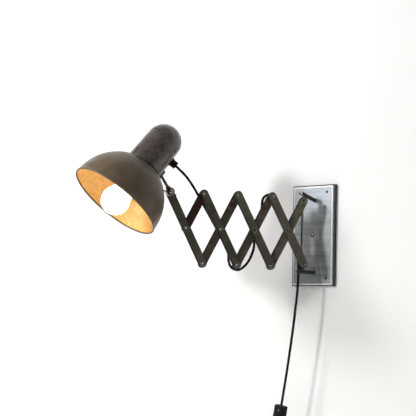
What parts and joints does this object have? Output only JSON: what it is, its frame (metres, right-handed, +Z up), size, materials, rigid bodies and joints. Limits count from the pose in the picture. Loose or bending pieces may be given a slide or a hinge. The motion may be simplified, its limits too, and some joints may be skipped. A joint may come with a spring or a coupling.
{
  "type": "accordion wall lamp",
  "caption": "Wall lamp with a shaded head on an accordion arm that folds along a guide rod, swings from a wall plate and carries a hanging corded switch.",
  "frame": {"origin": "middle of the wall plate's back face, on the wall", "axes": "+Z up, -Y straight out of the wall, +X to the right for someone who faces the wall"},
  "size_m": [0.3417, 0.4385, 0.7809],
  "materials": {
    "box_black": "satin black, rubbed at its edges",
    "face_brushed": "brushed along its width, dulled",
    "leg_black": "satin black",
    "chrome": "polished, a little dull",
    "arm_paint": "worn grey-brown paint with rust",
    "rivet_steel": "turned, dulled",
    "dark_steel": "blackened steel",
    "cap_brown": "scuffed gloss",
    "shade_paint": "satin enamel",
    "cord_black": "matte",
    "rubber_black": "matte",
    "switch_black": "fine matte",
    "holder_black": "moulded",
    "brass": "dull",
    "bulb_white": "opal",
    "bulb_cap": "satin"
  },
  "bodies": {
    "wall_bracket": {"backing_box": "box_black", "face_plate": "face_brushed", "upper_leg": "leg_black", "lower_leg": "leg_black", "leg_nuts": "rivet_steel", "guide_rod": "chrome", "cord_clip": "leg_black", "cord_drop": "cord_black", "switch_front": "switch_black", "switch_back": "switch_black", "switch_screws": "rivet_steel", "cord_tail": "cord_black", "cord_coil": "cord_black", "coil_tie": "rubber_black", "cord_end": "cord_black", "plug_body": "switch_black", "plug_boot": "rubber_black", "plug_pins": "brass"},
    "carrier": {"lower_carrier": "dark_steel", "lower_carrier_rivet": "rivet_steel", "cord_to_leg": "cord_black"},
    "front_bar_4": {"front_bar_4": "arm_paint", "front_rivets_4": "rivet_steel", "cord_on_bar_4": "cord_black"},
    "rear_bar_4": {"rear_bar_4": "arm_paint"},
    "slider": {"upper_slider": "dark_steel", "upper_slider_rivet": "rivet_steel"},
    "rear_bar_3": {"rear_bar_3": "arm_paint", "cord_on_rear_bar": "cord_black", "cord_high_loop": "cord_black", "cord_low_loop": "cord_black"},
    "front_bar_3": {"front_bar_3": "arm_paint", "front_rivets_3": "rivet_steel"},
    "front_bar_2": {"front_bar_2": "arm_paint", "front_rivets_2": "rivet_steel", "cord_on_bar_2": "cord_black"},
    "rear_bar_2": {"rear_bar_2": "arm_paint"},
    "rear_bar_1": {"rear_bar_1": "arm_paint"},
    "front_bar_1": {"front_bar_1": "arm_paint", "front_rivets_1": "rivet_steel", "clamp_bolt": "rivet_steel", "bolt_washer": "dark_steel", "clamp_spacers": "chrome", "cord_head_span": "cord_black"},
    "wing_nut": {"wing_nut": "chrome"},
    "knuckle": {"knuckle": "chrome"},
    "head": {"head_rod": "chrome", "rod_bracket": "chrome", "bracket_screws": "chrome", "dome_cap": "cap_brown", "shade": "shade_paint", "holder_disc": "rivet_steel", "nipple": "rivet_steel", "lampholder": "holder_black", "lampholder_contacts": "brass", "bulb_glass": "bulb_white", "bulb_base": "bulb_cap", "cord_grommet": "rubber_black", "cord_inside_cap": "cord_black"},
    "rocker": {"switch_rocker": "switch_black"}
  },
  "joints": [
    {"name": "arm_swing", "type": "hinge", "parent": "wall_bracket", "child": "carrier", "pos_m": [0.003, -0.049, -0.05925], "axis": [0, 0, 1], "range_deg": [-35, 50], "deforming": ["cord_to_leg"]},
    {"name": "arm_fold", "type": "hinge", "parent": "carrier", "child": "front_bar_4", "pos_m": [0.003, -0.049, -0.05925], "axis": [0.766, -0.6428, 0], "range_deg": [-2, 33.5]},
    {"name": "crossing_4", "type": "hinge", "parent": "front_bar_4", "child": "rear_bar_4", "pos_m": [-0.01679, -0.07258, 0.0025], "axis": [0.766, -0.6428, 0], "range_deg": [-67, 4]},
    {"name": "slider_pivot", "type": "hinge", "parent": "rear_bar_4", "child": "slider", "pos_m": [0.003, -0.049, 0.06425], "axis": [0.766, -0.6428, 0], "range_deg": [-2, 33.5]},
    {"name": "upper_pivot_3", "type": "hinge", "parent": "front_bar_4", "child": "rear_bar_3", "pos_m": [-0.0383, -0.09822, 0.06962], "axis": [0.766, -0.6428, 0], "range_deg": [-67, 4], "deforming": ["cord_high_loop"]},
    {"name": "crossing_3", "type": "hinge", "parent": "rear_bar_3", "child": "front_bar_3", "pos_m": [-0.05981, -0.12386, 0.0025], "axis": [0.766, -0.6428, 0], "range_deg": [-4, 67]},
    {"name": "lower_pivot_2", "type": "hinge", "parent": "rear_bar_3", "child": "front_bar_2", "pos_m": [-0.08132, -0.14949, -0.06462], "axis": [0.766, -0.6428, 0], "range_deg": [-4, 67], "deforming": ["cord_low_loop"]},
    {"name": "crossing_2", "type": "hinge", "parent": "front_bar_2", "child": "rear_bar_2", "pos_m": [-0.10283, -0.17513, 0.0025], "axis": [0.766, -0.6428, 0], "range_deg": [-67, 4]},
    {"name": "upper_pivot_1", "type": "hinge", "parent": "front_bar_2", "child": "rear_bar_1", "pos_m": [-0.12434, -0.20076, 0.06962], "axis": [0.766, -0.6428, 0], "range_deg": [-67, 4]},
    {"name": "crossing_1", "type": "hinge", "parent": "rear_bar_1", "child": "front_bar_1", "pos_m": [-0.14585, -0.2264, 0.0025], "axis": [0.766, -0.6428, 0], "range_deg": [-4, 67]},
    {"name": "wing_nut_turn", "type": "hinge", "parent": "front_bar_1", "child": "wing_nut", "pos_m": [-0.16737, -0.25203, 0.06962], "axis": [0.766, -0.6428, 0], "continuous": true},
    {"name": "head_tilt", "type": "hinge", "parent": "front_bar_1", "child": "knuckle", "pos_m": [-0.14791, -0.26836, 0.06962], "axis": [0.766, -0.6428, 0], "range_deg": [-45, 28], "deforming": ["cord_head_span"]},
    {"name": "head_swivel", "type": "hinge", "parent": "knuckle", "child": "head", "pos_m": [-0.14791, -0.26836, 0.06962], "axis": [-0.3359, -0.4003, 0.8526], "range_deg": [-24, 80]},
    {"name": "rocker_press", "type": "hinge", "parent": "wall_bracket", "child": "rocker", "pos_m": [-0.038, -0.0637, -0.36349], "axis": [-0.9835, 0, 0.1808], "range_deg": [-14, 0]}
  ],
  "couplings": [
    {"joint": "crossing_4", "follows": "arm_fold", "ratio": -2},
    {"joint": "slider_pivot", "follows": "arm_fold", "ratio": 1},
    {"joint": "upper_pivot_3", "follows": "arm_fold", "ratio": -2},
    {"joint": "crossing_3", "follows": "arm_fold", "ratio": 2},
    {"joint": "lower_pivot_2", "follows": "arm_fold", "ratio": 2},
    {"joint": "crossing_2", "follows": "arm_fold", "ratio": -2},
    {"joint": "upper_pivot_1", "follows": "arm_fold", "ratio": -2},
    {"joint": "crossing_1", "follows": "arm_fold", "ratio": 2}
  ]
}
